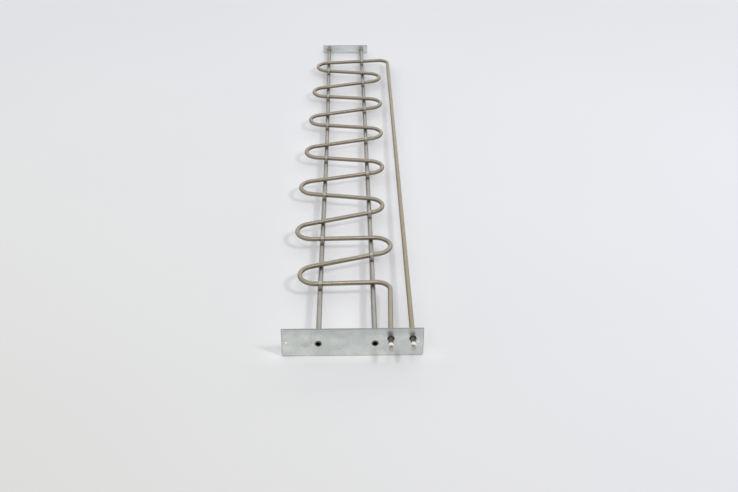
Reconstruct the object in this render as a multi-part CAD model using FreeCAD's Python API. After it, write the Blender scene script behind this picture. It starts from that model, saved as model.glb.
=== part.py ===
import FreeCAD, Part
import os
import math
from FreeCAD import Vector as V

os.makedirs("parts", exist_ok=True)

# Serpentine tubular heating element on two support tubes, with a mounting
# plate at the terminal end and a small foot plate at the far end.
# Millimetres. X runs along the mounting plate, Y along the element away from
# the terminals, Z up. Origin: middle of the mounting plate's seating face.

# ---- mounting plate (terminal end) ----
PLATE_W = 215.0          # along X
PLATE_H = 50.0           # along Z
PLATE_T = 2.0            # sheet thickness; seating face at Y = 0, outer face at Y = -2
PLATE_R_LOW = 4.5        # rounded lower corners
PLATE_R_TOP = 1.0
EDGE_BREAK = 0.25        # rolled shear edge
SCREW_INSET = 7.0        # screw hole to plate end
SCREW_HOLE_R = 2.1
PASS_HOLE_R = 5.25       # the four holes that tubes and legs pass through

# ---- foot plate (far end) ----
FOOT_W = 114.0
FOOT_H = 20.4
FOOT_T = 2.0
FOOT_XC = -9.3
FOOT_ZC = -0.5
FOOT_R = 1.0
FOOT_HOLE_R = 4.3

OVERALL = 1280.0         # outer face to outer face of the two plates

# ---- support tubes ----
TUBE_R = 4.25
TUBE_WALL = 0.75
TUBE_Z = -2.0
# Both tubes are slightly bowed sideways. Corners of their centre lines:
# (Y, X, length that a long arc takes from the straight line on each side)
TUBE_PATH = (
    ((150.0, -52.0, 90.0), (770.0, -48.4, 230.0), (1225.0, -51.05, 40.0)),
    ((60.0, 34.2, 50.0), (220.0, 34.65, 90.0), (560.0, 33.6, 120.0),
     (860.0, 33.55, 150.0), (1235.0, 31.75, 30.0)),
)
TUBE_PROUD = 0.8         # stands out of the mounting plate's outer face

# ---- element ----
SHEATH_R = 4.0
SHEATH_WALL = 0.6
ELEM_Z = TUBE_Z + TUBE_R + SHEATH_R      # the runs lie on top of the tubes
LEG_X = (58.0, 91.2)                     # legs where they pass the mounting plate
STUB = (14.4, 12.75)                    # sheath standing out of the outer face
BEND_R = 27.4                            # return bends, on the centre line
LEG_BENDS = ((40.7, 132.7, 21.5), (75.9, 1154.5, 20.2))   # the two quarter bends
# centres of the thirteen return bends, left and right in turn
RETURNS = (
    (-59.0, 178.0), (40.5, 270.5), (-68.6, 322.0), (31.5, 416.6),
    (-68.1, 490.0), (36.5, 576.8), (-62.8, 647.8), (39.3, 738.7),
    (-58.6, 809.2), (42.8, 900.4), (-55.2, 969.8), (45.0, 1060.0),
    (-49.1, 1131.2),
)

# ---- inside the sheath ----
COIL_R = 1.6             # outside of the wound resistance wire
WIRE_D = 0.4
PIN_R = 1.2              # terminal pin, also the coil's inside radius
PIN_DEPTH = 100.0        # pin inside the sheath
COIL_LAP = 8.0           # coil turns gripping the pin
SPIGOT_L = 5.0           # bush spigot inside the sheath
SPIGOT_R = 3.35
SEAL_L = 3.0

# ---- terminals ----
BUSH_R = 3.95
BUSH_L = 6.3
BUSH_BORE_R = 1.25
TAB_W = 6.3
TAB_T = 0.8
TAB_L = 14.0             # tab beyond the bush
TAB_HOLE_R = 0.85
SLOT_D = 1.5             # cross slot in the bush's face, which keeps the tab from turning
SLOT_W = 6.6
SLOT_H = 1.3
PIN_PROUD = 4.0
TAB_ROLL = (-7.0, 5.0)   # degrees that each tab stands out of level

# ---- weld metal ----
RING_DEPTH = 0.8         # filler in the back of the pass holes, flush with the seating face
FOOT_RING_R = 6.0
FOOT_RING_L = 2.2

# ---- retaining clips ----
CLIP_W = 5.0             # strap width, along X
CLIP_T = 0.6
CLIP_PLAY = 0.05         # between strap and sheath
CLIP_BEND = 0.6          # inside radius where the strap turns out onto the tube
CLIP_REACH = 11.4        # crossing to the end of the flange, towards the terminals
CLIP_TAIL = 0.95         # free end behind the run, above the tube's crown
CLIP_WELD_R = 3.0
CLIP_WELD_SINK = 1.6     # centre of the weld cap below the tube's crown
CLIP_WELD_AT = 12.0      # crossing to the weld's middle

Y_OUT = -PLATE_T
Y_FAR = OVERALL - PLATE_T            # outer face of the foot plate
Y_FOOT = Y_FAR - FOOT_T              # its inner face


def cyl_y(r, x, z, y0, y1):
    return Part.makeCylinder(r, y1 - y0, V(x, y0, z), V(0, 1, 0))


def only(shape):
    """The single solid of a boolean's result, or the compound of them."""
    sol = shape.Solids
    return sol[0] if len(sol) == 1 else Part.makeCompound(sol)


# ---------------------------------------------------------------- the plates
def sheet(w, h, t, xc, zc, y0, r_low, r_top, edge):
    b = Part.makeBox(w, t, h, V(xc - w / 2, y0, zc - h / 2))
    low, top = [], []
    for e in b.Edges:
        a, c = e.Vertexes[0].Point, e.Vertexes[1].Point
        if abs(a.x - c.x) < 1e-6 and abs(a.z - c.z) < 1e-6:
            (low if a.z < zc else top).append(e)
    b = b.makeFillet(r_low, low)
    top = []
    for e in b.Edges:
        if len(e.Vertexes) < 2:
            continue
        a, c = e.Vertexes[0].Point, e.Vertexes[1].Point
        if abs(a.x - c.x) < 1e-6 and abs(a.z - c.z) < 1e-6 and a.z > zc + h / 2 - 1e-3 \
                and abs(abs(a.x - xc) - w / 2) < 1e-3:
            top.append(e)
    b = b.makeFillet(r_top, top)
    rim = []
    for e in b.Edges:
        ys = [v.Point.y for v in e.Vertexes]
        if abs(max(ys) - min(ys)) < 1e-6:
            rim.append(e)
    return b.makeFillet(edge, rim)


# where the tubes pass the mounting plate and where they end in the foot plate
TUBE_X = tuple(path[0][1] for path in TUBE_PATH)
TUBE_X_FAR = tuple(path[-1][1] for path in TUBE_PATH)

front = sheet(PLATE_W, PLATE_H, PLATE_T, 0.0, 0.0, Y_OUT, PLATE_R_LOW, PLATE_R_TOP, EDGE_BREAK)
for x in TUBE_X:
    front = front.cut(cyl_y(PASS_HOLE_R, x, TUBE_Z, Y_OUT - 1, 1))
for x in LEG_X:
    front = front.cut(cyl_y(PASS_HOLE_R, x, ELEM_Z, Y_OUT - 1, 1))
for s in (-1, 1):
    front = front.cut(cyl_y(SCREW_HOLE_R, s * (PLATE_W / 2 - SCREW_INSET), 0, Y_OUT - 1, 1))

foot = sheet(FOOT_W, FOOT_H, FOOT_T, FOOT_XC, FOOT_ZC, Y_FOOT, FOOT_R, FOOT_R, EDGE_BREAK)
for x in TUBE_X_FAR:
    foot = foot.cut(cyl_y(FOOT_HOLE_R, x, TUBE_Z, Y_FOOT - 1, Y_FAR + 1))


# --------------------------------------------------------- the support tubes
def tube_rod(side, radius, y0, y1):
    """Round rod along a support tube's centre line, and that line's arcs."""
    path = TUBE_PATH[side]
    corners = [V(path[0][1], y0, TUBE_Z)] + [V(x, y, TUBE_Z) for y, x, _ in path] \
        + [V(path[-1][1], y1, TUBE_Z)]
    here, edges, arcs = corners[0], [], []
    for i in range(1, len(corners) - 1):
        c, t = corners[i], path[i - 1][2]
        d0, d1 = (c - corners[i - 1]).normalize(), (corners[i + 1] - c).normalize()
        p, q = c - d0 * t, c + d1 * t
        n = (d1 - d0).normalize()
        half = d0.getAngle(d1) / 2
        centre = c + n * (t / math.sin(half))
        mid = centre - n * (t / math.tan(half))
        edges += [Part.LineSegment(here, p).toShape(), Part.Arc(p, mid, q).toShape()]
        arcs.append((p, centre, t / math.tan(half), q))
        here = q
    edges.append(Part.LineSegment(here, corners[-1]).toShape())
    disc = Part.Face(Part.Wire([Part.makeCircle(radius, corners[0], V(0, 1, 0))]))
    return Part.Wire(edges).makePipe(disc), arcs


def tube_x(side, y):
    """X of a support tube's centre line at Y."""
    for p, c, r, q in tube_arcs[side]:
        if y <= p.y:
            break
        if y <= q.y:
            return c.x + math.copysign(math.sqrt(r * r - (y - c.y) ** 2), p.x - c.x)
    line = [(a[3], b[0]) for a, b in zip(tube_arcs[side][:-1], tube_arcs[side][1:])]
    for a, b in line:
        if a.y <= y <= b.y:
            return a.x + (b.x - a.x) * (y - a.y) / (b.y - a.y)
    return TUBE_PATH[side][0][1] if y < 300 else TUBE_PATH[side][-1][1]


tube_rods, tube_arcs, tubes = [], [], []
for side in (0, 1):
    outside, arcs = tube_rod(side, TUBE_R, Y_OUT - TUBE_PROUD, Y_FAR)
    inside, _ = tube_rod(side, TUBE_R - TUBE_WALL, Y_OUT - TUBE_PROUD - 1, Y_FAR + 1)
    tube_rods.append(outside)
    tube_arcs.append(arcs)
    tubes.append(outside.cut(inside))


# ------------------------------------------------- the element's centre line
def tangent(c1, r1, s1, c2, r2, s2):
    """Straight line that leaves bend 1 and joins bend 2. s is +1 for a bend
    that turns left along the path and -1 for one that turns right."""
    dx, dy = c2[0] - c1[0], c2[1] - c1[1]
    d = math.hypot(dx, dy)
    a = -math.asin((s2 * r2 - s1 * r1) / d)
    ux, uy = dx / d, dy / d
    tx = ux * math.cos(a) - uy * math.sin(a)
    ty = ux * math.sin(a) + uy * math.cos(a)
    nx, ny = -ty, tx
    return ((c1[0] - s1 * r1 * nx, c1[1] - s1 * r1 * ny),
            (c2[0] - s2 * r2 * nx, c2[1] - s2 * r2 * ny), (tx, ty))


bends = [(LEG_BENDS[0][0], LEG_BENDS[0][1], LEG_BENDS[0][2], 1)]
for i, c in enumerate(RETURNS):
    bends.append((c[0], c[1], BEND_R, -1 if i % 2 == 0 else 1))
bends.append((LEG_BENDS[1][0], LEG_BENDS[1][1], LEG_BENDS[1][2], -1))

# legs: from the hole in the mounting plate to the first and last bend
hole_a = (LEG_X[0], Y_OUT / 2)
hole_b = (LEG_X[1], Y_OUT / 2)
nodes = [(hole_a, 0.0, 1)] + [((b[0], b[1]), b[2], b[3]) for b in bends] + [(hole_b, 0.0, 1)]
lines = [tangent(p[0], p[1], p[2], q[0], q[1], q[2]) for p, q in zip(nodes[:-1], nodes[1:])]
dir_a = lines[0][2]                                  # into the sheath at the left end
dir_b = (-lines[-1][2][0], -lines[-1][2][1])         # into the sheath at the right end
end_a = (hole_a[0] - dir_a[0] * (STUB[0] + PLATE_T / 2), hole_a[1] - dir_a[1] * (STUB[0] + PLATE_T / 2))
end_b = (hole_b[0] - dir_b[0] * (STUB[1] + PLATE_T / 2), hole_b[1] - dir_b[1] * (STUB[1] + PLATE_T / 2))


def at(p):
    return V(p[0], p[1], ELEM_Z)


def centre_line(depth):
    """The path from depth mm inside the left end to depth mm inside the right
    end: straight runs joined by tangent arcs."""
    a = (end_a[0] + dir_a[0] * depth, end_a[1] + dir_a[1] * depth)
    b = (end_b[0] + dir_b[0] * depth, end_b[1] + dir_b[1] * depth)
    edges = []
    for i, ln in enumerate(lines):
        p = a if i == 0 else ln[0]
        q = b if i == len(lines) - 1 else ln[1]
        edges.append(Part.LineSegment(at(p), at(q)).toShape())
        if i < len(lines) - 1:
            cx, cy, r, s = bends[i]
            p2 = lines[i + 1][0]
            a0 = math.atan2(q[1] - cy, q[0] - cx)
            a1 = math.atan2(p2[1] - cy, p2[0] - cx)
            da = ((a1 - a0) * s) % (2 * math.pi)
            am = a0 + s * da / 2
            mid = (cx + r * math.cos(am), cy + r * math.sin(am))
            edges.append(Part.Arc(at(q), at(mid), at(p2)).toShape())
    return Part.Wire(edges), a


def rod(radius, depth):
    """Round rod along the centre line."""
    wire, a = centre_line(depth)
    disc = Part.Face(Part.Wire([Part.makeCircle(radius, at(a), V(dir_a[0], dir_a[1], 0))]))
    return wire.makePipe(disc), wire.Length


sheath_out, sheath_len = rod(SHEATH_R, 0.0)
sheath_in, _ = rod(SHEATH_R - SHEATH_WALL, -1.0)
sheath = only(sheath_out.cut(sheath_in))

# ------------------------------------------------------------ sheath filling
coil_depth = PIN_DEPTH - COIL_LAP
coil_out, coil_len = rod(COIL_R, coil_depth)
coil_in, _ = rod(PIN_R, coil_depth - 1.0)
coil = only(coil_out.cut(coil_in))

fill_depth = SPIGOT_L + SEAL_L
fill_out, fill_len = rod(SHEATH_R - SHEATH_WALL, fill_depth)
core, core_len = rod(PIN_R, PIN_DEPTH)


def along(end, d, r, s0, s1):
    """Cylinder on a leg's axis from depth s0 to depth s1 inside its end."""
    return Part.makeCylinder(r, s1 - s0, at((end[0] + d[0] * s0, end[1] + d[1] * s0)),
                             V(d[0], d[1], 0))


fill = fill_out.cut(coil_out)
for end, d in ((end_a, dir_a), (end_b, dir_b)):
    fill = fill.cut(along(end, d, PIN_R, fill_depth - 1.0, coil_depth + 0.5))
filling = Part.makeCompound([only(fill), core])


# ------------------------------------------------------------- the terminals
def place(shape, end, d, roll=0.0):
    """From a terminal's own frame (sheath end face at the origin, +Y into the
    sheath) to its leg."""
    s = shape.copy()
    if roll:
        s.rotate(V(0, 0, 0), V(0, 1, 0), roll)
    s.rotate(V(0, 0, 0), V(0, 0, 1), math.degrees(math.atan2(d[1], d[0])) - 90.0)
    s.translate(at(end))
    return s


def terminal(end, d, roll):
    y_face = -BUSH_L                       # the bush's outer face
    # ceramic bush: head outside, spigot inside, through bore and cross slot
    prof = [V(0, SPIGOT_L, 0), V(SPIGOT_R - 0.3, SPIGOT_L, 0), V(SPIGOT_R, SPIGOT_L - 0.3, 0),
            V(SPIGOT_R, 0, 0), V(BUSH_R - 0.2, 0, 0), V(BUSH_R, -0.2, 0),
            V(BUSH_R, y_face + 0.7, 0)]
    edges = [Part.LineSegment(p, q).toShape() for p, q in zip(prof[:-1], prof[1:])]
    m = math.sqrt(0.5) * 0.7
    edges.append(Part.Arc(prof[-1], V(BUSH_R - 0.7 + m, y_face + 0.7 - m, 0),
                          V(BUSH_R - 0.7, y_face, 0)).toShape())
    edges.append(Part.LineSegment(V(BUSH_R - 0.7, y_face, 0), V(0, y_face, 0)).toShape())
    edges.append(Part.LineSegment(V(0, y_face, 0), prof[0]).toShape())
    bush = Part.Face(Part.Wire(edges)).revolve(V(0, 0, 0), V(0, 1, 0), 360)
    bush = bush.cut(cyl_y(BUSH_BORE_R, 0, 0, y_face - 1, SPIGOT_L + 1))
    z_mid = TAB_T / 2
    bush = bush.cut(Part.makeBox(SLOT_W, SLOT_D + 1, SLOT_H,
                                 V(-SLOT_W / 2, y_face - 1, z_mid - SLOT_H / 2)))
    # flat tab with bevelled tip and a locking hole; its heel sits in the slot
    heel = y_face + SLOT_D - 0.2
    tip = y_face - TAB_L
    hw = TAB_W / 2
    pts = [V(-hw, heel, 0), V(hw, heel, 0), V(hw, tip + 1.2, 0), V(hw - 1.0, tip, 0),
           V(-hw + 1.0, tip, 0), V(-hw, tip + 1.2, 0), V(-hw, heel, 0)]
    tab = Part.Face(Part.makePolygon(pts)).extrude(V(0, 0, TAB_T))
    tip_edges = [e for e in tab.Edges
                 if all(abs(v.Point.y - tip) < 1e-6 for v in e.Vertexes) and e.Length > 2]
    tab = tab.makeChamfer(0.25, tip_edges)
    tab = tab.cut(Part.makeCylinder(TAB_HOLE_R, TAB_T + 2, V(0, tip + 4.1, -1)))
    # pin: round inside the sheath, its outer end flattened under the tab
    pin = cyl_y(PIN_R, 0, 0, y_face - PIN_PROUD, PIN_DEPTH)
    pin = pin.cut(Part.makeBox(6, PIN_PROUD + SLOT_D + 1, 3, V(-3, y_face - PIN_PROUD - 1, 0)))
    seal = cyl_y(SHEATH_R - SHEATH_WALL, 0, 0, SPIGOT_L, SPIGOT_L + SEAL_L).cut(
        cyl_y(PIN_R, 0, 0, SPIGOT_L - 1, SPIGOT_L + SEAL_L + 1))
    return [place(only(s), end, d, roll) for s in (bush, tab, pin, seal)]


bush_a, tab_a, pin_a, seal_a = terminal(end_a, dir_a, TAB_ROLL[0])
bush_b, tab_b, pin_b, seal_b = terminal(end_b, dir_b, TAB_ROLL[1])

# --------------------------------------------------------------- weld metal
# filler rings in the back of the mounting plate's pass holes
tube_rings = []
for x in TUBE_X:
    tube_rings.append(only(cyl_y(PASS_HOLE_R, x, TUBE_Z, -RING_DEPTH, 0).cut(
        cyl_y(TUBE_R, x, TUBE_Z, -RING_DEPTH - 1, 1))))
leg_rings = []
for x, end, d in ((LEG_X[0], end_a, dir_a), (LEG_X[1], end_b, dir_b)):
    leg_rings.append(only(cyl_y(PASS_HOLE_R, x, ELEM_Z, -RING_DEPTH, 0).cut(
        along(end, d, SHEATH_R, 0.0, 40.0))))

# fillets where the support tubes meet the foot plate
foot_rings = []
for x in TUBE_X_FAR:
    w, h = FOOT_RING_R - TUBE_R, FOOT_RING_L
    p0, p1, p2 = V(TUBE_R, 0, 0), V(TUBE_R + w, 0, 0), V(TUBE_R, -h, 0)
    pm = V(TUBE_R + w * 0.62, -h * 0.62, 0)
    face = Part.Face(Part.Wire([Part.LineSegment(p0, p1).toShape(),
                                Part.Arc(p1, pm, p2).toShape(),
                                Part.LineSegment(p2, p0).toShape()]))
    ring = face.revolve(V(0, 0, 0), V(0, 1, 0), 360)
    ring.translate(V(x, Y_FOOT, TUBE_Z))
    foot_rings.append(only(ring))

# retaining clips: odd runs are held on the left tube, even runs on the right
# tube. Each is a strap that hooks over the run from behind, comes down on the
# terminal side and lies along the tube, with a weld at its end.
runs = lines[1:-1]
CROWN = TUBE_Z + TUBE_R


def run_y(run, x):
    (px, py), (qx, qy), _ = run
    return py + (qy - py) * (x - px) / (qx - px)


def clip_profile():
    """Section across the run: first coordinate away from the terminals."""
    ri = SHEATH_R + CLIP_PLAY
    ro = ri + CLIP_T
    z0, z1, zc = CROWN, CROWN + CLIP_T, ELEM_Z
    rb = CLIP_BEND
    bs, bz = -ro - rb, z1 + rb
    h = math.sqrt(0.5)

    def p(s, z):
        return V(0, s, z)

    line, arc = Part.LineSegment, Part.Arc
    tail = CROWN + CLIP_TAIL
    edges = [
        line(p(ri, tail), p(ro, tail)), line(p(ro, tail), p(ro, zc)),
        arc(p(ro, zc), p(0, zc + ro), p(-ro, zc)), line(p(-ro, zc), p(-ro, bz)),
        arc(p(-ro, bz), p(bs + rb * h, bz - rb * h), p(bs, z1)),
        line(p(bs, z1), p(-30, z1)), line(p(-30, z1), p(-30, z0)), line(p(-30, z0), p(bs, z0)),
        arc(p(bs, z0), p(bs + (rb + CLIP_T) * h, bz - (rb + CLIP_T) * h), p(-ri, bz)),
        line(p(-ri, bz), p(-ri, zc)), arc(p(-ri, zc), p(0, zc + ri), p(ri, zc)),
        line(p(ri, zc), p(ri, tail)),
    ]
    return Part.Face(Part.Wire([e.toShape() for e in edges]))


clips, clip_welds = ([], []), ([], [])
for i, run in enumerate(runs):
    side = i % 2
    x = TUBE_X[side]
    for _ in range(4):
        y = run_y(run, x)
        x = tube_x(side, y)
    t = run[2]
    if t[0] < 0:
        t = (-t[0], -t[1])
    bar = clip_profile().extrude(V(24, 0, 0))
    bar.translate(V(-12, 0, 0))
    bar.rotate(V(0, 0, 0), V(0, 0, 1), math.degrees(math.atan2(t[1], t[0])))
    bar.translate(V(x, y, 0))
    strap = only(bar.common(Part.makeBox(CLIP_W, 40, 40, V(x - CLIP_W / 2, y - CLIP_REACH, -5))))
    clips[side].append(strap)
    cap = Part.makeSphere(CLIP_WELD_R, V(x, y - CLIP_WELD_AT, CROWN - CLIP_WELD_SINK))
    cap = cap.cut(tube_rods[side])
    cap = cap.cut(Part.makeBox(8, 20, 10, V(x - 4, y - CLIP_REACH, CROWN + CLIP_T - 10)))
    cap = cap.common(Part.makeBox(20, 20, 20, V(x - 10, y - CLIP_WELD_AT - 10, TUBE_Z + 1.0)))
    clip_welds[side].append(sorted(cap.Solids, key=lambda c: -c.Volume)[0])

# ------------------------------------------------------------------- output
out = {
    "front_mounting_plate": only(front),
    "rear_foot_plate": only(foot),
    "left_support_tube": only(tubes[0]),
    "right_support_tube": only(tubes[1]),
    "element_sheath": sheath,
    "magnesia_filling": filling,
    "resistance_coil": coil,
    "left_terminal_pin": pin_a,
    "right_terminal_pin": pin_b,
    "left_end_seal": seal_a,
    "right_end_seal": seal_b,
    "left_ceramic_bush": bush_a,
    "right_ceramic_bush": bush_b,
    "left_terminal_tab": tab_a,
    "right_terminal_tab": tab_b,
    "left_tube_plate_weld": tube_rings[0],
    "right_tube_plate_weld": tube_rings[1],
    "left_leg_plate_weld": leg_rings[0],
    "right_leg_plate_weld": leg_rings[1],
    "left_tube_foot_weld": foot_rings[0],
    "right_tube_foot_weld": foot_rings[1],
    "left_retaining_clips": Part.makeCompound(clips[0]),
    "right_retaining_clips": Part.makeCompound(clips[1]),
    "left_clip_welds": Part.makeCompound(clip_welds[0]),
    "right_clip_welds": Part.makeCompound(clip_welds[1]),
}
for name, shape in out.items():
    bad = [i for i, s in enumerate(shape.Solids) if not s.isValid()]
    print("%-24s solids %2d volume %10.1f mm3 %s" % (
        name, len(shape.Solids), sum(s.Volume for s in shape.Solids), "INVALID %s" % bad if bad else ""))
    shape.exportStep("parts/%s.step" % name)

print("sheath length %.1f, volume over section x length %.6f" % (
    sheath_len, sheath.Volume / (math.pi * (SHEATH_R ** 2 - (SHEATH_R - SHEATH_WALL) ** 2) * sheath_len)))
print("coil length %.1f, volume over section x length %.6f" % (
    coil_len, coil.Volume / (math.pi * (COIL_R ** 2 - PIN_R ** 2) * coil_len)))
print("tube bores, volume over section x length", [round(t.Volume / (
    math.pi * (TUBE_R ** 2 - (TUBE_R - TUBE_WALL) ** 2) * (Y_FAR - Y_OUT + TUBE_PROUD)), 6) for t in tubes])
print("bend radii: return %.1f, legs %.1f and %.1f" % (BEND_R, LEG_BENDS[0][2], LEG_BENDS[1][2]))
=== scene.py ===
import math

import bmesh
import bpy
import numpy as np
from mathutils import Matrix, Vector, noise


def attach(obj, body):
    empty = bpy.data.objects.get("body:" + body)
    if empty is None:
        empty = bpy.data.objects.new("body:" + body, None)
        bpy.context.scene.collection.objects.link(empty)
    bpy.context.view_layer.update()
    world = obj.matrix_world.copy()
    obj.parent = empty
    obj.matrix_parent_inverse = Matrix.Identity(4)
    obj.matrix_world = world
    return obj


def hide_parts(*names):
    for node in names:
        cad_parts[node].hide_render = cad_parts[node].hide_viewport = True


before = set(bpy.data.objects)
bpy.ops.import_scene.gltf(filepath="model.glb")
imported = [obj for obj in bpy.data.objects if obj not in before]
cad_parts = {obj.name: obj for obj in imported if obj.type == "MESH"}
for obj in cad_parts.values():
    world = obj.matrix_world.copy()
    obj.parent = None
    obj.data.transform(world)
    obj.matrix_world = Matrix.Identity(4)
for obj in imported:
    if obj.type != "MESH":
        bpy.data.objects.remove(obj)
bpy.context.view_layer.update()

MM = 0.001
TAU = 2.0 * math.pi

# ------------------------------------------------------------------ dimensions
# millimetres, in the part's own frame
PLATE_W, PLATE_H, PLATE_T = 215.0, 50.0, 2.0
PLATE_R_LOW, PLATE_R_TOP, EDGE = 4.5, 1.0, 0.25
SCREW_X, SCREW_R = 100.5, 2.1
PASS_R = 5.25
FOOT_W, FOOT_H, FOOT_T, FOOT_XC, FOOT_ZC = 114.0, 20.4, 2.0, -9.3, -0.5
FOOT_R, FOOT_HOLE_R = 1.0, 4.3
Y_FAR, Y_FOOT = 1278.0, 1276.0
TUBE_Z, TUBE_R, TUBE_BORE_R = -2.0, 4.25, 3.5
TUBE_Y0 = -2.8
# corners of the tubes' centre lines: (Y, X, length taken by the arc on each side)
TUBE_PATH = (
    ((150.0, -52.0, 90.0), (770.0, -48.4, 230.0), (1225.0, -51.05, 40.0)),
    ((60.0, 34.2, 50.0), (220.0, 34.65, 90.0), (560.0, 33.6, 120.0),
     (860.0, 33.55, 150.0), (1235.0, 31.75, 30.0)),
)
TUBE_X = tuple(path[0][1] for path in TUBE_PATH)
TUBE_X_FAR = tuple(path[-1][1] for path in TUBE_PATH)
CROWN = TUBE_Z + TUBE_R
ROD_R, ROD_BORE_R, ROD_Z = 4.0, 3.4, 6.25
LEG_X = (58.0, 91.2)
STUB = (14.4, 12.75)
BEND_R = 27.4
LEG_BENDS = ((40.7, 132.7, 21.5), (75.9, 1154.5, 20.2))
RETURNS = (
    (-59.0, 178.0), (40.5, 270.5), (-68.6, 322.0), (31.5, 416.6),
    (-68.1, 490.0), (36.5, 576.8), (-62.8, 647.8), (39.3, 738.7),
    (-58.6, 809.2), (42.8, 900.4), (-55.2, 969.8), (45.0, 1060.0),
    (-49.1, 1131.2),
)
CLIP_W, CLIP_T, CLIP_PLAY, CLIP_BEND = 5.0, 0.6, 0.05, 0.6
CLIP_REACH, CLIP_TAIL = 11.4, 0.95
WELD_R, WELD_SINK, WELD_AT = 3.0, 1.6, 12.0
FOOT_RING_R, FOOT_RING_L = 6.0, 2.2


# ---------------------------------------------------- the tubes' centre lines
def tube_arcs(side):
    path = TUBE_PATH[side]
    pts = [(TUBE_Y0, path[0][1])] + [c[:2] for c in path] + [(Y_FAR, path[-1][1])]
    arcs = []
    for i in range(1, len(pts) - 1):
        (ya, xa), (yb, xb), (yc, xc) = pts[i - 1:i + 2]
        k0, k1, t = (xb - xa) / (yb - ya), (xc - xb) / (yc - yb), path[i - 1][2]
        y0, y1 = yb - t / math.hypot(1, k0), yb + t / math.hypot(1, k1)
        arcs.append((y0, y1, xb + k0 * (y0 - yb), k0, k1))
    return arcs


ARCS = [tube_arcs(0), tube_arcs(1)]


def tube_x(side, y):
    """X of a tube's centre line. The arcs' radii are tens of metres, so a
    parabola is the same curve."""
    for y0, y1, x0, k0, k1 in ARCS[side]:
        if y < y0:
            return x0 + k0 * (y - y0)
        if y <= y1:
            return x0 + k0 * (y - y0) + (k1 - k0) * (y - y0) ** 2 / (2 * (y1 - y0))
    return TUBE_X_FAR[side]


# ------------------------------------------------------- the rod's centre line
def tangent(c1, r1, s1, c2, r2, s2):
    dx, dy = c2[0] - c1[0], c2[1] - c1[1]
    d = math.hypot(dx, dy)
    a = -math.asin((s2 * r2 - s1 * r1) / d)
    ux, uy = dx / d, dy / d
    tx = ux * math.cos(a) - uy * math.sin(a)
    ty = ux * math.sin(a) + uy * math.cos(a)
    nx, ny = -ty, tx
    return ((c1[0] - s1 * r1 * nx, c1[1] - s1 * r1 * ny),
            (c2[0] - s2 * r2 * nx, c2[1] - s2 * r2 * ny), (tx, ty))


bends = [(LEG_BENDS[0][0], LEG_BENDS[0][1], LEG_BENDS[0][2], 1)]
for i, c in enumerate(RETURNS):
    bends.append((c[0], c[1], BEND_R, -1 if i % 2 == 0 else 1))
bends.append((LEG_BENDS[1][0], LEG_BENDS[1][1], LEG_BENDS[1][2], -1))
stops = [((LEG_X[0], -1.0), 0.0, 1)] + [((b[0], b[1]), b[2], b[3]) for b in bends] \
    + [((LEG_X[1], -1.0), 0.0, 1)]
lines = [tangent(p[0], p[1], p[2], q[0], q[1], q[2]) for p, q in zip(stops[:-1], stops[1:])]
dir_a = lines[0][2]
dir_b = (-lines[-1][2][0], -lines[-1][2][1])
end_a = (LEG_X[0] - dir_a[0] * (STUB[0] + 1), -1.0 - dir_a[1] * (STUB[0] + 1))
end_b = (LEG_X[1] - dir_b[0] * (STUB[1] + 1), -1.0 - dir_b[1] * (STUB[1] + 1))
runs = lines[1:-1]


def run_y(run, x):
    (px, py), (qx, qy), _ = run
    return py + (qy - py) * (x - px) / (qx - px)


# the fourteen places where a run is clipped to a support tube, and the
# fourteen where it only lies on the other one
held, plain = [], []
for i, run in enumerate(runs):
    t = run[2] if run[2][0] > 0 else (-run[2][0], -run[2][1])
    for side, group in ((i % 2, held), (1 - i % 2, plain)):
        x = TUBE_X[side]
        for _ in range(4):
            x = tube_x(side, run_y(run, x))
        group.append((side, x, run_y(run, x), t))
CROSS = np.array([(c[1], c[2]) for c in held])
CROSS_PLAIN = np.array([(c[1], c[2]) for c in plain])


def centre_line(step_line, step_close, step_arc_deg):
    """Points on the rod's centre line with their tangents, lengths and how
    much each is part of a bend. Steps are finer near the crossings."""
    pts, tans, bent = [], [], []
    for i, ln in enumerate(lines):
        p = end_a if i == 0 else ln[0]
        q = end_b if i == len(lines) - 1 else ln[1]
        length = math.hypot(q[0] - p[0], q[1] - p[1])
        t = ln[2]
        marks = [0.0]
        while marks[-1] < length - 1e-6:
            s = marks[-1]
            x, y = p[0] + t[0] * s, p[1] + t[1] * s
            near = min(np.hypot(CROSS[:, 0] - x, CROSS[:, 1] - y).min(),
                       np.hypot(CROSS_PLAIN[:, 0] - x, CROSS_PLAIN[:, 1] - y).min())
            end = (i == 0 and s < 24) or (i == len(lines) - 1 and length - s < 24)
            step = step_close if near < 9 or end else step_line
            marks.append(min(length, s + step))
        if len(marks) > 2 and marks[-1] - marks[-2] < 0.3 * step_close:
            del marks[-2]
        skip = 0 if i == 0 else 1
        for s in marks[skip:]:
            pts.append((p[0] + t[0] * s, p[1] + t[1] * s))
            tans.append(t)
            bent.append(0.0)
        if i < len(lines) - 1:
            cx, cy, r, s = bends[i]
            p2 = lines[i + 1][0]
            a0 = math.atan2(q[1] - cy, q[0] - cx)
            a1 = math.atan2(p2[1] - cy, p2[0] - cx)
            da = ((a1 - a0) * s) % TAU
            n = max(4, int(math.ceil(math.degrees(da) / step_arc_deg)))
            for k in range(1, n + 1):
                a = a0 + s * da * k / n
                pts.append((cx + r * math.cos(a), cy + r * math.sin(a)))
                tans.append((-s * math.sin(a), s * math.cos(a)))
                bent.append(math.sin(math.pi * k / n))
    pts, tans = np.array(pts), np.array(tans)
    seg = np.hypot(*(pts[1:] - pts[:-1]).T)
    return pts, tans, np.concatenate([[0.0], np.cumsum(seg)]), np.array(bent)


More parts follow.
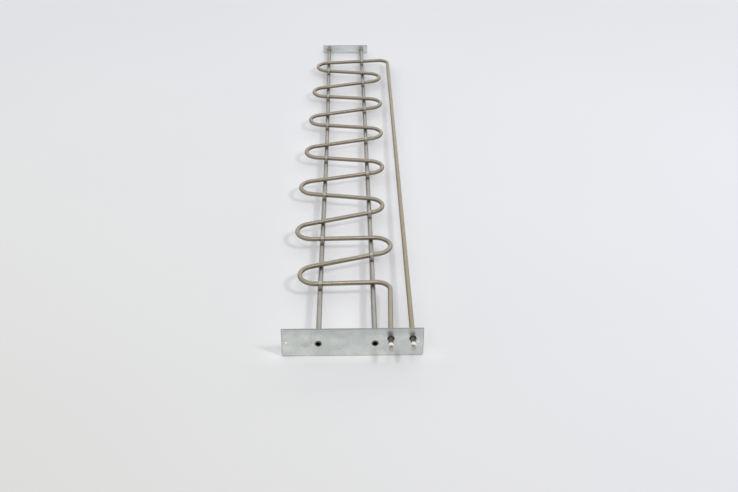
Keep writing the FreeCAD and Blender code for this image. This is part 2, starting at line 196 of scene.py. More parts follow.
# ---------------------------------------------------------------- mesh making
def new_object(name, verts, faces, smooth_deg=32.0, attrs=None, uvs=None):
    """A mesh object from millimetre vertices, with point attributes."""
    me = bpy.data.meshes.new(name)
    me.from_pydata((np.asarray(verts, float) * MM).tolist(), [], faces)
    me.validate(clean_customdata=False)
    me.update()
    bm = bmesh.new()
    bm.from_mesh(me)
    if bm.calc_volume(signed=True) < 0:
        bmesh.ops.reverse_faces(bm, faces=bm.faces)
        bm.to_mesh(me)
    bm.free()
    for key, values in (attrs or {}).items():
        values = np.asarray(values, np.float32)
        kind = "FLOAT_VECTOR" if values.ndim == 2 else "FLOAT"
        a = me.attributes.new(key, kind, "POINT")
        a.data.foreach_set("vector" if values.ndim == 2 else "value", values.ravel())
    if uvs is not None:
        layer = me.uv_layers.new(name="UVMap")
        idx = np.zeros(len(me.loops), np.int32)
        me.loops.foreach_get("vertex_index", idx)
        layer.data.foreach_set("uv", np.asarray(uvs, np.float32)[idx].ravel())
    me.shade_smooth()
    me.set_sharp_from_angle(angle=math.radians(smooth_deg))
    ob = bpy.data.objects.new(name, me)
    bpy.context.scene.collection.objects.link(ob)
    return ob


def shell(rings):
    """Closed tube-like skin from rings of equal count, joined last to first."""
    n, s = len(rings), len(rings[0])
    verts = np.concatenate(rings)
    faces = []
    for i in range(n):
        j = (i + 1) % n
        for k in range(s):
            m = (k + 1) % s
            faces.append((i * s + k, j * s + k, j * s + m, i * s + m))
    return verts, faces


def ring(centre, side, up, radius, segs):
    a = np.arange(segs) * TAU / segs
    return np.asarray(centre)[None, :] + radius * (
        np.cos(a)[:, None] * np.asarray(side)[None, :] + np.sin(a)[:, None] * np.asarray(up)[None, :])


UP = np.array([0.0, 0.0, 1.0])


def smoothstep(x):
    x = np.clip(x, 0.0, 1.0)
    return x * x * (3.0 - 2.0 * x)


# ------------------------------------------------------------------ the sheath
def make_sheath():
    segs = 32
    pts, tans, lens, bent = centre_line(5.0, 1.0, 2.5)
    total = lens[-1]
    rings, straight, marks, bend_at = [], [], [], []

    def add(x, y, t, r, s, b):
        side = np.array([-t[1], t[0], 0.0])
        a = np.arange(segs) * TAU / segs
        p = np.array([x, y, ROD_Z])[None, :] + r * (np.cos(a)[:, None] * side[None, :]
                                                    + np.sin(a)[:, None] * UP[None, :])
        rings.append(p)
        straight.append(np.stack([np.full(segs, s), r * np.cos(a), r * np.sin(a)], 1) * MM)
        near = np.hypot(CROSS[:, 0] - x, CROSS[:, 1] - y).min()
        marks.append(np.full(segs, 1.0 - smoothstep((near - 2.5) / 5.0)))
        bend_at.append(np.full(segs, b))

    def at(i, s):
        """point on the end run, s from the end face"""
        if i == 0:
            return end_a[0] + dir_a[0] * s, end_a[1] + dir_a[1] * s, dir_a
        return end_b[0] + dir_b[0] * s, end_b[1] + dir_b[1] * s, (-dir_b[0], -dir_b[1])

    # outer skin, with a small rounding at each cut end
    for s, r in ((0.0, ROD_R - 0.16), (0.05, ROD_R - 0.05), (0.16, ROD_R)):
        x, y, t = at(0, s)
        add(x, y, t, r, s, 0.0)
    keep = [k for k in range(1, len(pts) - 1)]
    for k in keep:
        add(pts[k][0], pts[k][1], tans[k], ROD_R, lens[k], bent[k])
    for s, r in ((0.16, ROD_R), (0.05, ROD_R - 0.05), (0.0, ROD_R - 0.16)):
        x, y, t = at(1, s)
        add(x, y, t, r, total - s, 0.0)
    # bore, back from the far end
    ip, it, il, ib = centre_line(60.0, 20.0, 9.0)
    x, y, t = at(1, 0.0)
    add(x, y, t, ROD_BORE_R + 0.1, total, 0.0)
    x, y, t = at(1, 0.1)
    add(x, y, t, ROD_BORE_R, total - 0.1, 0.0)
    for k in range(len(ip) - 2, 0, -1):
        add(ip[k][0], ip[k][1], it[k], ROD_BORE_R, il[k], 0.0)
    x, y, t = at(0, 0.1)
    add(x, y, t, ROD_BORE_R, 0.1, 0.0)
    x, y, t = at(0, 0.0)
    add(x, y, t, ROD_BORE_R + 0.1, 0.0, 0.0)
    verts, faces = shell(rings)
    straight = np.concatenate(straight)
    s = straight[:, 0] / MM
    ends = np.maximum(1.0 - smoothstep((s - 10.0) / 6.0), 1.0 - smoothstep((total - s - 8.0) / 6.0))
    uv = np.stack([straight[:, 0] * 4.0, np.arctan2(straight[:, 2], straight[:, 1]) / TAU + 0.5], 1)
    return new_object("element_sheath_skin", verts, faces, attrs={
        "straight": straight, "mark": np.concatenate(marks),
        "bend": np.concatenate(bend_at), "stub": ends}, uvs=uv)


# --------------------------------------------------------- the support tubes
def make_tube(name, side):
    segs = 44
    clips = sorted(c[2] for c in held if c[0] == side)
    lies = sorted(c[2] for c in plain if c[0] == side)
    ys = set()
    y = TUBE_Y0 + 0.15
    while y < Y_FAR - 0.15:
        ys.add(round(y, 3))
        near = min(min(abs(y - (c - WELD_AT)) for c in clips), min(abs(y - c) for c in clips + lies))
        y += 0.9 if near < 7 or y < 12 or y > Y_FOOT - 14 else 5.0
    ys = sorted(ys)
    stations = [(TUBE_Y0, TUBE_R - 0.15), (TUBE_Y0 + 0.05, TUBE_R - 0.05)]
    stations += [(v, TUBE_R) for v in ys]
    stations += [(Y_FAR - 0.15, TUBE_R), (Y_FAR - 0.05, TUBE_R - 0.05), (Y_FAR, TUBE_R - 0.15)]
    stations += [(Y_FAR, TUBE_BORE_R + 0.1), (Y_FAR - 0.1, TUBE_BORE_R)]
    inner = [Y_FAR - 8, Y_FAR - 30, Y_FAR - 80] + list(np.linspace(Y_FAR - 160, TUBE_Y0 + 160, 9)) \
        + [TUBE_Y0 + 80, TUBE_Y0 + 40, TUBE_Y0 + 20, TUBE_Y0 + 10, TUBE_Y0 + 5, TUBE_Y0 + 2]
    stations += [(v, TUBE_BORE_R) for v in inner]
    stations += [(TUBE_Y0 + 0.1, TUBE_BORE_R), (TUBE_Y0, TUBE_BORE_R + 0.1)]
    rings, burn, lie, inside = [], [], [], []
    outer_n = len(ys) + 5
    for n, (yy, r) in enumerate(stations):
        x = tube_x(side, yy)
        p = ring((x, yy, TUBE_Z), (1, 0, 0), (0, 0, 1), r, segs)
        rings.append(p)
        top = np.clip((p[:, 2] - TUBE_Z) / TUBE_R, -1, 1)
        b = 0.0
        for c in clips:
            d = np.hypot((yy - (c - WELD_AT)), p[:, 0] - x)
            b = np.maximum(b, (1.0 - smoothstep((d - 1.2) / 5.4)) * smoothstep((top + 0.35) / 0.6))
        burn.append(b if n < outer_n else np.zeros(segs))
        # painted shade where a run lies on the tube, more on the terminals' side
        a = 0.0
        for c in clips + lies:
            off = abs(yy - (c - 2.5)) - 1.5
            a = np.maximum(a, (1.0 - smoothstep(off / 7.0)) * smoothstep((top + 0.2) / 0.7))
        lie.append(np.ones(segs) * a if n < outer_n else np.zeros(segs))
        inside.append(np.full(segs, 0.0 if n < outer_n else 1.0))
    verts, faces = shell(rings)
    return new_object(name, verts, faces, attrs={
        "burn": np.concatenate(burn), "lie": np.concatenate(lie), "inside": np.concatenate(inside)})


# ------------------------------------------------------------ retaining clips
def rounded_section(width, thick, r, n=3):
    """Rounded rectangle: across (width) and through (thickness), 4n+... points."""
    out = []
    hw, ht = width / 2, thick / 2
    for cx, cy, a0 in ((hw - r, ht - r, 0.0), (-hw + r, ht - r, 90.0),
                       (-hw + r, -ht + r, 180.0), (hw - r, -ht + r, 270.0)):
        for k in range(n + 1):
            a = math.radians(a0 + 90.0 * k / n)
            out.append((cx + r * math.cos(a), cy + r * math.sin(a)))
        # points along the flat towards the next corner
        if a0 in (0.0, 180.0):
            sgn = -1 if a0 == 0.0 else 1
            for f in (0.75, 0.5, 0.25, 0.0, -0.25, -0.5, -0.75):
                out.append((-sgn * f * (hw - r), (ht if a0 == 0.0 else -ht)))
    return out


def clip_path():
    """Middle of the strap in the section across the run: (s, z, normal angle)."""
    rm = ROD_R + CLIP_PLAY + CLIP_T / 2
    rb = CLIP_BEND + CLIP_T / 2
    zf = CROWN + CLIP_T / 2
    ro = ROD_R + CLIP_PLAY + CLIP_T
    cs = -ro - CLIP_BEND
    path = []
    for k in range(4):
        path.append((rm, CROWN + CLIP_TAIL + (ROD_Z - CROWN - CLIP_TAIL) * k / 4, 0.0))
    for k in range(33):
        a = math.pi * k / 32
        path.append((rm * math.cos(a), ROD_Z + rm * math.sin(a), a))
    bz = CROWN + CLIP_T + CLIP_BEND
    for k in range(1, 4):
        path.append((-rm, ROD_Z + (bz - ROD_Z) * k / 4, math.pi))
    for k in range(0, 9):
        a = math.pi / 2 * k / 8
        # concave turn out onto the tube
        path.append((cs + rb * math.cos(a), bz - rb * math.sin(a), math.pi - a))
    return path, cs, zf


def make_clips(name, side):
    path, cs, zf = clip_path()
    section = rounded_section(CLIP_W, CLIP_T, 0.13)
    verts, faces = [], []
    local, foot = [], []
    for which, x, y, t in held:
        if which != side:
            continue
        rings = []
        for s, z, a in path:
            n = np.array([math.cos(a), math.sin(a)])
            rings.append([(w, s + n[0] * h, z + n[1] * h, s) for w, h in section])
        flat0 = path[-1][0]
        span = CLIP_REACH + flat0
        for f in (0.15, 0.3, 0.45, 0.6, 0.75, 0.88, 0.97):
            s = flat0 - span * f
            rings.append([(w, s, zf + h, s) for w, h in section])
        pts = []
        for rg in rings:
            for w, s, z, sm in rg:
                fade = np.clip((sm + CLIP_REACH) / (CLIP_REACH + flat0), 0.0, 1.0) if sm < flat0 else 1.0
                yy = y + (s / t[0]) * fade + s * (1.0 - fade) + w * t[1] / t[0] * fade
                pts.append((x + w, yy, z))
                local.append((w, s, z))
                foot.append(smoothstep(np.array((-s - 6.8) / 5.0)))
        m = len(section)
        # last ring, on the plane where the strap was sheared off
        last = [(x + w * 0.985, y - CLIP_REACH, zf + h * 0.86) for w, h in section]
        pts += last
        for w, h in section:
            local.append((w, -CLIP_REACH, zf + h))
            foot.append(1.0)
        nr = len(rings) + 1
        base = len(verts)
        verts += pts
        for j in range(nr - 1):
            for k in range(m):
                q = (k + 1) % m
                faces.append((base + j * m + k, base + (j + 1) * m + k,
                              base + (j + 1) * m + q, base + j * m + q))
        faces.append(tuple(base + k for k in range(m)))
        faces.append(tuple(base + (nr - 1) * m + k for k in range(m - 1, -1, -1)))
    return new_object(name, verts, faces, smooth_deg=38.0, attrs={
        "local": np.array(local) * MM, "foot": np.array(foot)})


def make_clip_welds(name, side):
    """Flattened beads that lap the strap's end and the tube, with the rings of
    a weld that has run and set."""
    verts, faces, height = [], [], []
    for which, x, y, t in held:
        if which != side:
            continue
        yc, zc = y - WELD_AT, CROWN - WELD_SINK
        seed = Vector((x * 0.13, y * 0.11, 9.0))

        def under(px, py):
            base = TUBE_Z + math.sqrt(max(0.0, TUBE_R ** 2 - (px - x) ** 2))
            if py > y - CLIP_REACH and abs(px - x) <= CLIP_W / 2:
                return max(base, CROWN + CLIP_T)
            return base

        def over(px, py):
            d2 = (px - x) ** 2 + (py - yc) ** 2
            return zc + math.sqrt(max(0.0, WELD_R ** 2 - d2))

        n_a, n_r = 48, 14
        rim = []
        for k in range(n_a):
            a = TAU * k / n_a
            lo, hi = 0.2, WELD_R * 0.999
            for _ in range(30):
                mid = (lo + hi) / 2
                px, py = x + mid * math.cos(a), yc + mid * math.sin(a)
                if over(px, py) > under(px, py):
                    lo = mid
                else:
                    hi = mid
            rim.append(lo)
        base = len(verts)
        verts.append((x, yc, over(x, yc) - 0.08))
        height.append(1.0)
        for j in range(1, n_r + 1):
            f = j / n_r
            for k in range(n_a):
                a = TAU * k / n_a
                r = rim[k] * f
                px, py = x + r * math.cos(a), yc + r * math.sin(a)
                top, low = over(px, py), under(px, py)
                ripple = 0.055 * math.sin(TAU * (r - 0.25 * math.sin(a)) / 0.62) \
                    + 0.10 * noise.noise(Vector((px * 0.9, py * 0.9, 0.0)) + seed)
                z = top - 0.09 + ripple * (1 - f ** 3)
                if j == n_r:
                    z = low
                else:
                    z = min(top, max(z, low + 0.02))
                verts.append((px, py, z))
                height.append(1.0 - f)
        top_n = 1 + n_r * n_a
        # underside, on the tube and on the strap
        verts.append((x, yc, under(x, yc)))
        height.append(0.5)
        for j in range(1, n_r):
            f = j / n_r
            for k in range(n_a):
                a = TAU * k / n_a
                r = rim[k] * f
                px, py = x + r * math.cos(a), yc + r * math.sin(a)
                verts.append((px, py, min(under(px, py), over(px, py) - 0.01)))
                height.append(0.5)

        def t_i(j, k):
            return base if j == 0 else base + 1 + (j - 1) * n_a + k % n_a

        def b_i(j, k):
            if j == n_r:
                return t_i(j, k)
            return base + top_n if j == 0 else base + top_n + 1 + (j - 1) * n_a + k % n_a

        for k in range(n_a):
            faces.append((t_i(0, 0), t_i(1, k), t_i(1, k + 1)))
            faces.append((b_i(0, 0), b_i(1, k + 1), b_i(1, k)))
            for j in range(1, n_r):
                faces.append((t_i(j, k), t_i(j + 1, k), t_i(j + 1, k + 1), t_i(j, k + 1)))
                faces.append((b_i(j, k), b_i(j, k + 1), b_i(j + 1, k + 1), b_i(j + 1, k)))
    return new_object(name, verts, faces, smooth_deg=50.0, attrs={"height": np.array(height)})


def make_foot_weld(name, side):
    """Fillet round the support tube on the foot plate, laid in short stops."""
    x = TUBE_X_FAR[side]
    n_a, n_p = 96, 8
    rings = []
    for k in range(n_a):
        a = TAU * k / n_a
        ca, sa = math.cos(a), math.sin(a)
        lumps = 0.09 * math.sin(13 * a + side) + 0.14 * noise.noise(Vector((ca * 2.2, sa * 2.2, 3.0 + side)))
        prof = []
        for j in range(n_p + 1):
            f = j / n_p
            # from the plate out to the tube, a little hollow
            r = TUBE_R + (FOOT_RING_R - TUBE_R) * (1 - f)
            h = FOOT_RING_L * f
            bulge = math.sin(math.pi * f)
            off = bulge * (0.30 + lumps) * 0.9
            r2 = r + off * 0.62
            h2 = h + off * 0.5
            prof.append((max(TUBE_R, min(r2, FOOT_RING_R)), min(h2, FOOT_RING_L)))
        prof.append((TUBE_R, 0.0))
        rings.append(np.array([(x + r * ca, Y_FOOT - h, TUBE_Z + r * sa) for r, h in prof]))
    verts, faces = shell(rings)
    return new_object(name, verts, faces, smooth_deg=45.0)


# ------------------------------------------------------------------ the plates
def make_plate(name, w, h, xc, zc, y_out, y_in, r_low, r_top, holes, band):
    """Sheet with rolled edges and punched holes. y_out and y_in are its faces,
    and band is the width of the handled border. Each hole is (x, z, radius,
    how much darker its edge is coloured)."""
    sgn = 1.0 if y_in > y_out else -1.0

    def outline(inset):
        pts = []
        for sx, sz, corner, a0 in ((1, 1, r_top, 0.0), (-1, 1, r_top, 90.0),
                                   (-1, -1, r_low, 180.0), (1, -1, r_low, 270.0)):
            r = max(corner, inset + 0.3)
            cx, cz, rr = xc + sx * (w / 2 - r), zc + sz * (h / 2 - r), r - inset
            n = 12
            for k in range(n + 1):
                a = math.radians(a0 + 90.0 * k / n)
                pts.append((cx + rr * math.cos(a), cz + rr * math.sin(a)))
        return pts

    bm = bmesh.new()
    layer = bm.verts.layers.float.new("rim")

    def loop(points, y, rim=0.0):
        made = [bm.verts.new((p[0], y, p[1])) for p in points]
        for v in made:
            v[layer] = rim
        return made

    def bridge(a, b):
        n = len(a)
        for k in range(n):
            bm.faces.new((a[k], a[(k + 1) % n], b[(k + 1) % n], b[k]))

    e = EDGE
    prof = []
    for k in range(5):
        a = math.pi / 2 * k / 4
        prof.append((e * (1 - math.sin(a)), e * (1 - math.cos(a))))
    # prof[k] = (inset, depth): from the flat face round to the edge
    loops = [loop(outline(band), y_out)]
    loops += [loop(outline(i), y_out + sgn * d, 1.0) for i, d in prof]
    loops += [loop(outline(i), y_in - sgn * d, 1.0) for i, d in reversed(prof)]
    loops += [loop(outline(band), y_in)]
    for a, b in zip(loops[:-1], loops[1:]):
        bridge(a, b)
    front_edges, back_edges = [loops[0]], [loops[-1]]
    he = 0.12
    for hx, hz, hr, hole_edge_dark in holes:
        n = 72

        def circle(r):
            return [(hx + r * math.cos(TAU * k / n), hz + r * math.sin(TAU * k / n)) for k in range(n)]

        rings_h = [loop(circle(hr + 1.1), y_out), loop(circle(hr + he), y_out, hole_edge_dark),
                   loop(circle(hr + he * 0.3), y_out + sgn * he * 0.3, hole_edge_dark),
                   loop(circle(hr), y_out + sgn * he, hole_edge_dark),
                   loop(circle(hr), y_in - sgn * he, hole_edge_dark),
                   loop(circle(hr + he * 0.3), y_in - sgn * he * 0.3, hole_edge_dark),
                   loop(circle(hr + he), y_in, hole_edge_dark), loop(circle(hr + 1.1), y_in)]
        for a, b in zip(rings_h[:-1], rings_h[1:]):
            bridge(a, b)
        front_edges.append(rings_h[0])
        back_edges.append(rings_h[-1])
    for group in (front_edges, back_edges):
        edges = []
        for lp in group:
            n = len(lp)
            for k in range(n):
                ed = bm.edges.get((lp[k], lp[(k + 1) % n]))
                edges.append(ed)
        bmesh.ops.triangle_fill(bm, use_beauty=True, use_dissolve=False, edges=edges)
    bmesh.ops.recalc_face_normals(bm, faces=bm.faces)
    for v in bm.verts:
        v.co *= MM
    me = bpy.data.meshes.new(name)
    bm.to_mesh(me)
    bm.free()
    me.shade_smooth()
    me.set_sharp_from_angle(angle=math.radians(24.0))
    ob = bpy.data.objects.new(name, me)
    bpy.context.scene.collection.objects.link(ob)
    # hard faces stay flat: weight the corner normals by area
    mod = ob.modifiers.new("normals", "WEIGHTED_NORMAL")
    mod.keep_sharp = True
    mod.weight = 100
    return ob


# ------------------------------------------------------------------- materials
class Nodes:
    """A small helper that builds a node tree."""

    def __init__(self, name, world=False):
        if world:
            self.data = bpy.data.worlds.new(name)
        else:
            self.data = bpy.data.materials.new(name)
        self.data.use_nodes = True
        self.tree = self.data.node_tree
        self.tree.nodes.clear()
        self.x = 0

    def add(self, kind, inputs=None, **props):
        n = self.tree.nodes.new(kind)
        self.x += 180
        n.location = (self.x, -(self.x * 7) % 600)
        for k, v in props.items():
            setattr(n, k, v)
        for k, v in (inputs or {}).items():
            self.put(n.inputs[k], v)
        return n

    def put(self, socket, v):
        if isinstance(v, bpy.types.NodeSocket):
            self.tree.links.new(v, socket)
        elif isinstance(v, bpy.types.Node):
            self.tree.links.new(v.outputs[0], socket)
        elif isinstance(v, (tuple, list)) and len(v) == 3 and socket.type == "RGBA":
            socket.default_value = (v[0], v[1], v[2], 1.0)
        else:
            socket.default_value = v

    def attr(self, name, vector=False):
        n = self.add("ShaderNodeAttribute", attribute_name=name, attribute_type="GEOMETRY")
        return n.outputs["Vector"] if vector else n.outputs["Fac"]

    def coords(self):
        return self.add("ShaderNodeTexCoord").outputs["Object"]

    def scale(self, vec, s):
        n = self.add("ShaderNodeVectorMath", operation="MULTIPLY")
        self.put(n.inputs[0], vec)
        n.inputs[1].default_value = s
        return n.outputs[0]

    def shift(self, vec, s):
        n = self.add("ShaderNodeVectorMath", operation="ADD")
        self.put(n.inputs[0], vec)
        self.put(n.inputs[1], s)
        return n.outputs[0]

    def noise(self, vec, scale, detail=3.0, rough=0.55, distort=0.0, dims="3D"):
        n = self.add("ShaderNodeTexNoise", noise_dimensions=dims)
        self.put(n.inputs["Vector"], vec)
        n.inputs["Scale"].default_value = scale
        n.inputs["Detail"].default_value = detail
        n.inputs["Roughness"].default_value = rough
        n.inputs["Distortion"].default_value = distort
        return n.outputs["Fac"]

    def voronoi(self, vec, scale, feature="F1", rand=1.0):
        n = self.add("ShaderNodeTexVoronoi", feature=feature)
        self.put(n.inputs["Vector"], vec)
        n.inputs["Scale"].default_value = scale
        n.inputs["Randomness"].default_value = rand
        return n

    def ramp(self, fac, stops, ease="LINEAR"):
        n = self.add("ShaderNodeValToRGB")
        n.color_ramp.interpolation = ease
        el = n.color_ramp.elements
        while len(el) < len(stops):
            el.new(0.5)
        for e, (p, c) in zip(el, stops):
            e.position = p
            e.color = (c, c, c, 1.0) if isinstance(c, (int, float)) else (c[0], c[1], c[2], 1.0)
        self.put(n.inputs["Fac"], fac)
        return n.outputs["Color"]

    def span(self, v, a, b, c=0.0, d=1.0, kind="LINEAR"):
        n = self.add("ShaderNodeMapRange", interpolation_type=kind)
        self.put(n.inputs["Value"], v)
        n.inputs["From Min"].default_value = a
        n.inputs["From Max"].default_value = b
        n.inputs["To Min"].default_value = c
        n.inputs["To Max"].default_value = d
        return n.outputs["Result"]

    def math(self, op, a, b=0.0, clamp=False):
        n = self.add("ShaderNodeMath", operation=op, use_clamp=clamp)
        self.put(n.inputs[0], a)
        self.put(n.inputs[1], b)
        return n.outputs[0]

    def mix(self, fac, a, b, blend="MIX"):
        n = self.add("ShaderNodeMix", data_type="RGBA", blend_type=blend)
        self.put(n.inputs[0], fac)
        self.put(n.inputs[6], a)
        self.put(n.inputs[7], b)
        return n.outputs[2]

    def bump(self, height, distance, strength=1.0, normal=None):
        n = self.add("ShaderNodeBump")
        self.put(n.inputs["Height"], height)
        n.inputs["Distance"].default_value = distance
        n.inputs["Strength"].default_value = strength
        if normal is not None:
            self.put(n.inputs["Normal"], normal)
        return n.outputs["Normal"]

    def principled(self, **inputs):
        p = self.add("ShaderNodeBsdfPrincipled")
        for k, v in inputs.items():
            self.put(p.inputs[k.replace("_", " ")], v)
        out = self.add("ShaderNodeOutputMaterial")
        self.tree.links.new(p.outputs[0], out.inputs["Surface"])
        return p


def mat_sheath():
    """Annealed stainless tube: warm grey-brown, drawn lengthwise, duller where
    it was handled."""
    n = Nodes("sheath_steel")
    st = n.attr("straight", True)
    # long faint drawing lines, patches of annealing colour, fine grain
    lines_ = n.noise(n.scale(st, (9.0, 900.0, 900.0)), 1.0, 4.0, 0.6)
    patch = n.noise(n.scale(st, (26.0, 130.0, 130.0)), 1.0, 3.0, 0.55)
    wide = n.noise(n.scale(st, (7.0, 30.0, 30.0)), 1.0, 2.0, 0.5)
    grain = n.noise(st, 5200.0, 2.0, 0.6)
    spots = n.voronoi(n.scale(st, (330.0, 420.0, 420.0)), 1.0)
    base = n.mix(n.span(patch, 0.30, 0.72), (0.318, 0.280, 0.218), (0.428, 0.380, 0.300))
    base = n.mix(n.span(wide, 0.35, 0.68, 0.0, 0.55), base, (0.425, 0.368, 0.278))
    base = n.mix(n.span(lines_, 0.36, 0.66, 0.0, 0.36), base, (0.262, 0.228, 0.180))
    base = n.mix(n.span(grain, 0.35, 0.70, 0.0, 0.16), base, (0.55, 0.505, 0.44))
    dots = n.span(spots.outputs["Distance"], 0.05, 0.16, 1.0, 0.0)
    dots = n.math("MULTIPLY", dots, n.span(patch, 0.50, 0.62))
    base = n.mix(n.math("MULTIPLY", dots, 0.45), base, (0.17, 0.135, 0.10))
    # darker handled ring by each clip
    mark = n.attr("mark")
    rim = n.math("MULTIPLY", n.span(mark, 0.05, 0.55), n.span(patch, 0.35, 0.6, 0.35, 0.8))
    base = n.mix(n.math("MULTIPLY", rim, 0.40), base, (0.20, 0.165, 0.125))
    # the long leg is straw-coloured, more so towards the terminals
    place = n.add("ShaderNodeSeparateXYZ", {"Vector": n.coords()}).outputs
    straw = n.math("MULTIPLY", n.span(place[0], 0.068, 0.080, 0.0, 1.0, "SMOOTHSTEP"), n.span(place[1], 0.05, 0.90, 0.62, 0.28))
    base = n.mix(straw, base, (0.350, 0.298, 0.178))
    # the stubs outside the mounting plate are darker and browner: partly oxide, partly painted shade
    stub = n.attr("stub")
    base = n.mix(n.math("MULTIPLY", stub, 0.80), base, (0.215, 0.172, 0.130))
    # painted shade: the underside of the rod is coloured darker
    aside, along, down = n.add("ShaderNodeSeparateXYZ", {"Vector": n.add("ShaderNodeNewGeometry").outputs["Normal"]}).outputs
    scale_and_shade = n.math("MULTIPLY", n.span(down, -0.10, 0.56, 1.0, 0.0, "SMOOTHSTEP"), n.span(patch, 0.2, 0.7, 0.42, 0.60))
    base = n.mix(scale_and_shade, base, (0.100, 0.080, 0.060))
    # painted shade: darker on the flanks and towards the outline, where the surface turns from view
    painted_flank_shade = n.math("MULTIPLY", n.span(n.add("ShaderNodeLayerWeight").outputs["Facing"], 0.10, 0.60, 0.0, 0.50), n.span(along, 0.1, 0.5))
    painted_flank_shade = n.math("MAXIMUM", painted_flank_shade, n.span(n.math("ABSOLUTE", aside), 0.55, 0.95, 0.0, 0.34))
    base = n.mix(painted_flank_shade, base, (0.120, 0.098, 0.075))
    rough = n.span(patch, 0.25, 0.75, 0.23, 0.32)
    rough = n.math("ADD", rough, n.span(lines_, 0.3, 0.7, -0.03, 0.05))
    bump = n.bump(lines_, 0.000035, 0.55)
    bump = n.bump(grain, 0.000012, 0.35, bump)
    p = n.principled(Base_Color=base, Roughness=rough, Normal=bump)
    p.inputs["Metallic"].default_value = 0.86
    p.inputs["Specular IOR Level"].default_value = 0.5
    return n.data


def mat_tube():
    """Bright drawn steel tube, grey and a little warm, with brown heat marks
    round the welds."""
    n = Nodes("tube_steel")
    co = n.coords()
    streak = n.noise(n.scale(co, (480.0, 9.0, 480.0)), 1.0, 4.0, 0.6)
    patch = n.noise(n.scale(co, (90.0, 22.0, 90.0)), 1.0, 3.0, 0.6)
    wide = n.noise(n.scale(co, (20.0, 5.0, 20.0)), 1.0, 2.0, 0.5)
    grain = n.noise(co, 4200.0, 2.0, 0.6)
    base = n.mix(n.span(patch, 0.3, 0.7), (0.325, 0.309, 0.282), (0.515, 0.495, 0.457))
    base = n.mix(n.span(wide, 0.35, 0.65, 0.0, 0.5), base, (0.450, 0.425, 0.386))
    base = n.mix(n.span(streak, 0.38, 0.66, 0.0, 0.60), base, (0.225, 0.207, 0.185))
    base = n.mix(n.span(grain, 0.4, 0.7, 0.0, 0.14), base, (0.60, 0.59, 0.57))
    blot = n.noise(n.scale(co, (160.0, 60.0, 160.0)), 1.0, 4.0, 0.65)
    base = n.mix(n.span(blot, 0.60, 0.72, 0.0, 0.55), base, (0.245, 0.215, 0.185))
    # painted shade: darker on the tube next to each run that lies on it
    lie = n.attr("lie")
    base = n.mix(n.math("MULTIPLY", lie, n.span(blot, 0.3, 0.6, 0.50, 0.80)), base, (0.190, 0.155, 0.125))
    burn = n.attr("burn")
    edge = n.math("ADD", burn, n.span(blot, 0.3, 0.7, -0.16, 0.16))
    tint = n.ramp(edge, [(0.0, 0.0), (0.20, 0.16), (0.50, 0.55), (0.80, 0.90), (1.0, 0.95)])
    base = n.mix(tint, base, n.ramp(edge, [(0.0, (0.36, 0.30, 0.22)), (0.30, (0.27, 0.205, 0.140)),
                                           (0.55, (0.165, 0.115, 0.085)), (0.80, (0.105, 0.078, 0.064)),
                                           (1.0, (0.085, 0.066, 0.056))]))
    # painted shade: darker on the flanks
    aside = n.add("ShaderNodeSeparateXYZ", {"Vector": n.add("ShaderNodeNewGeometry").outputs["Normal"]}).outputs[0]
    base = n.mix(n.span(n.math("ABSOLUTE", aside), 0.50, 0.95, 0.0, 0.45), base, (0.115, 0.102, 0.090))
    # painted shade: the bore is coloured near-black
    inside = n.attr("inside")
    base = n.mix(n.math("MULTIPLY", inside, 0.9), base, (0.055, 0.050, 0.046))
    rough = n.math("ADD", n.span(patch, 0.3, 0.7, 0.25, 0.34), n.math("MULTIPLY", burn, 0.20))
    bump = n.bump(streak, 0.00003, 0.5)
    bump = n.bump(grain, 0.000012, 0.35, bump)
    p = n.principled(Base_Color=base, Roughness=rough, Normal=bump)
    p.inputs["Metallic"].default_value = 0.86
    return n.data


